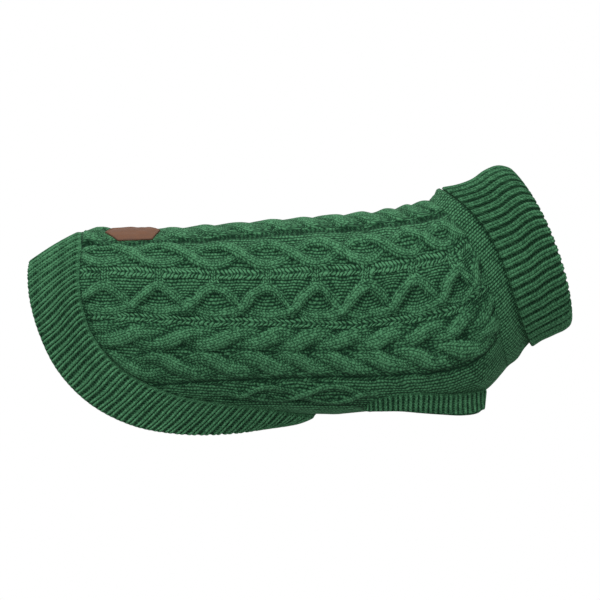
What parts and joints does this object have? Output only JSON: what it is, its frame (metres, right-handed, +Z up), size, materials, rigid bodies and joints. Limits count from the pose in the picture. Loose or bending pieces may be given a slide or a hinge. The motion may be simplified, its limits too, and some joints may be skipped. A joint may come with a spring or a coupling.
{
  "type": "dog sweater",
  "caption": "Pull-on knitted dog sweater with cables along the body, a folded roll collar, a ribbed hem band, two ribbed leg cuffs and a leather label.",
  "frame": {"origin": "middle of the back on the inner face of the cloth, where the wearer's back carries the sweater", "axes": "+X along the body towards the neck, +Y towards the sweater's left side, +Z up from the back"},
  "size_m": [0.4454, 0.1188, 0.2211],
  "materials": {
    "green_knit": "matte wool-like cable knit",
    "green_rib": "matte wool-like ribbed knit",
    "brown_leather": "smooth brown leather"
  },
  "bodies": {
    "root": {"back_panel": "green_knit", "belly_panel": "green_knit", "collar": "green_rib", "hem_band": "green_rib", "cuff_right": "green_rib", "cuff_left": "green_rib", "label": "brown_leather"}
  },
  "joints": []
}
